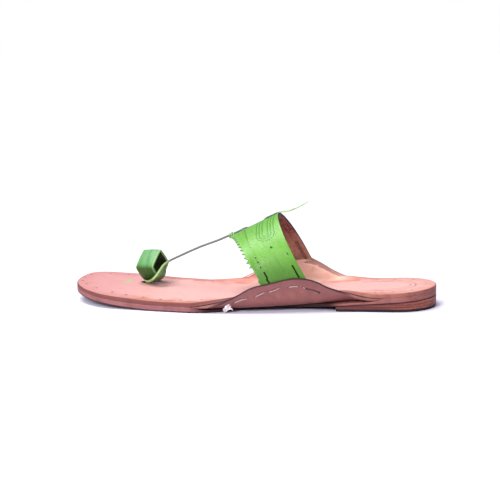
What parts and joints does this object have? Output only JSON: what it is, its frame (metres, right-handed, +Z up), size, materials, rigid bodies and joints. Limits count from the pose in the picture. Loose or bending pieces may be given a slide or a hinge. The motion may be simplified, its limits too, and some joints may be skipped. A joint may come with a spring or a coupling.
{
  "type": "kolhapuri sandal",
  "caption": "Flat leather left sandal with side ears at the waist, a pinked band over the instep, a toe ring, and a thin lace from the ring to the band.",
  "frame": {"origin": "on the floor under the middle of the sandal's length and width, the free lace end left out", "axes": "+X from toe to heel, +Y to the inner, big toe side, +Z up"},
  "size_m": [0.258, 0.0942, 0.0726],
  "materials": {
    "sole_leather": "cut edge",
    "heel_leather": "stacked cut edge",
    "heel_bottom": "dark and worn",
    "insole_leather": "natural, satin",
    "ear_leather": "natural, satin",
    "band_leather": "dyed lime green, satin",
    "ring_leather": "dyed green, glossy",
    "lace_leather": "dyed grey green"
  },
  "bodies": {
    "root": {"outsole": "sole_leather", "heel_lift": "heel_leather", "heel_top_piece": "heel_bottom", "insole": "insole_leather", "ear_lateral": "ear_leather", "ear_medial": "ear_leather", "instep_band": "band_leather", "toe_ring": "ring_leather", "toe_lace": "lace_leather", "lace_tail": "lace_leather"}
  },
  "joints": []
}
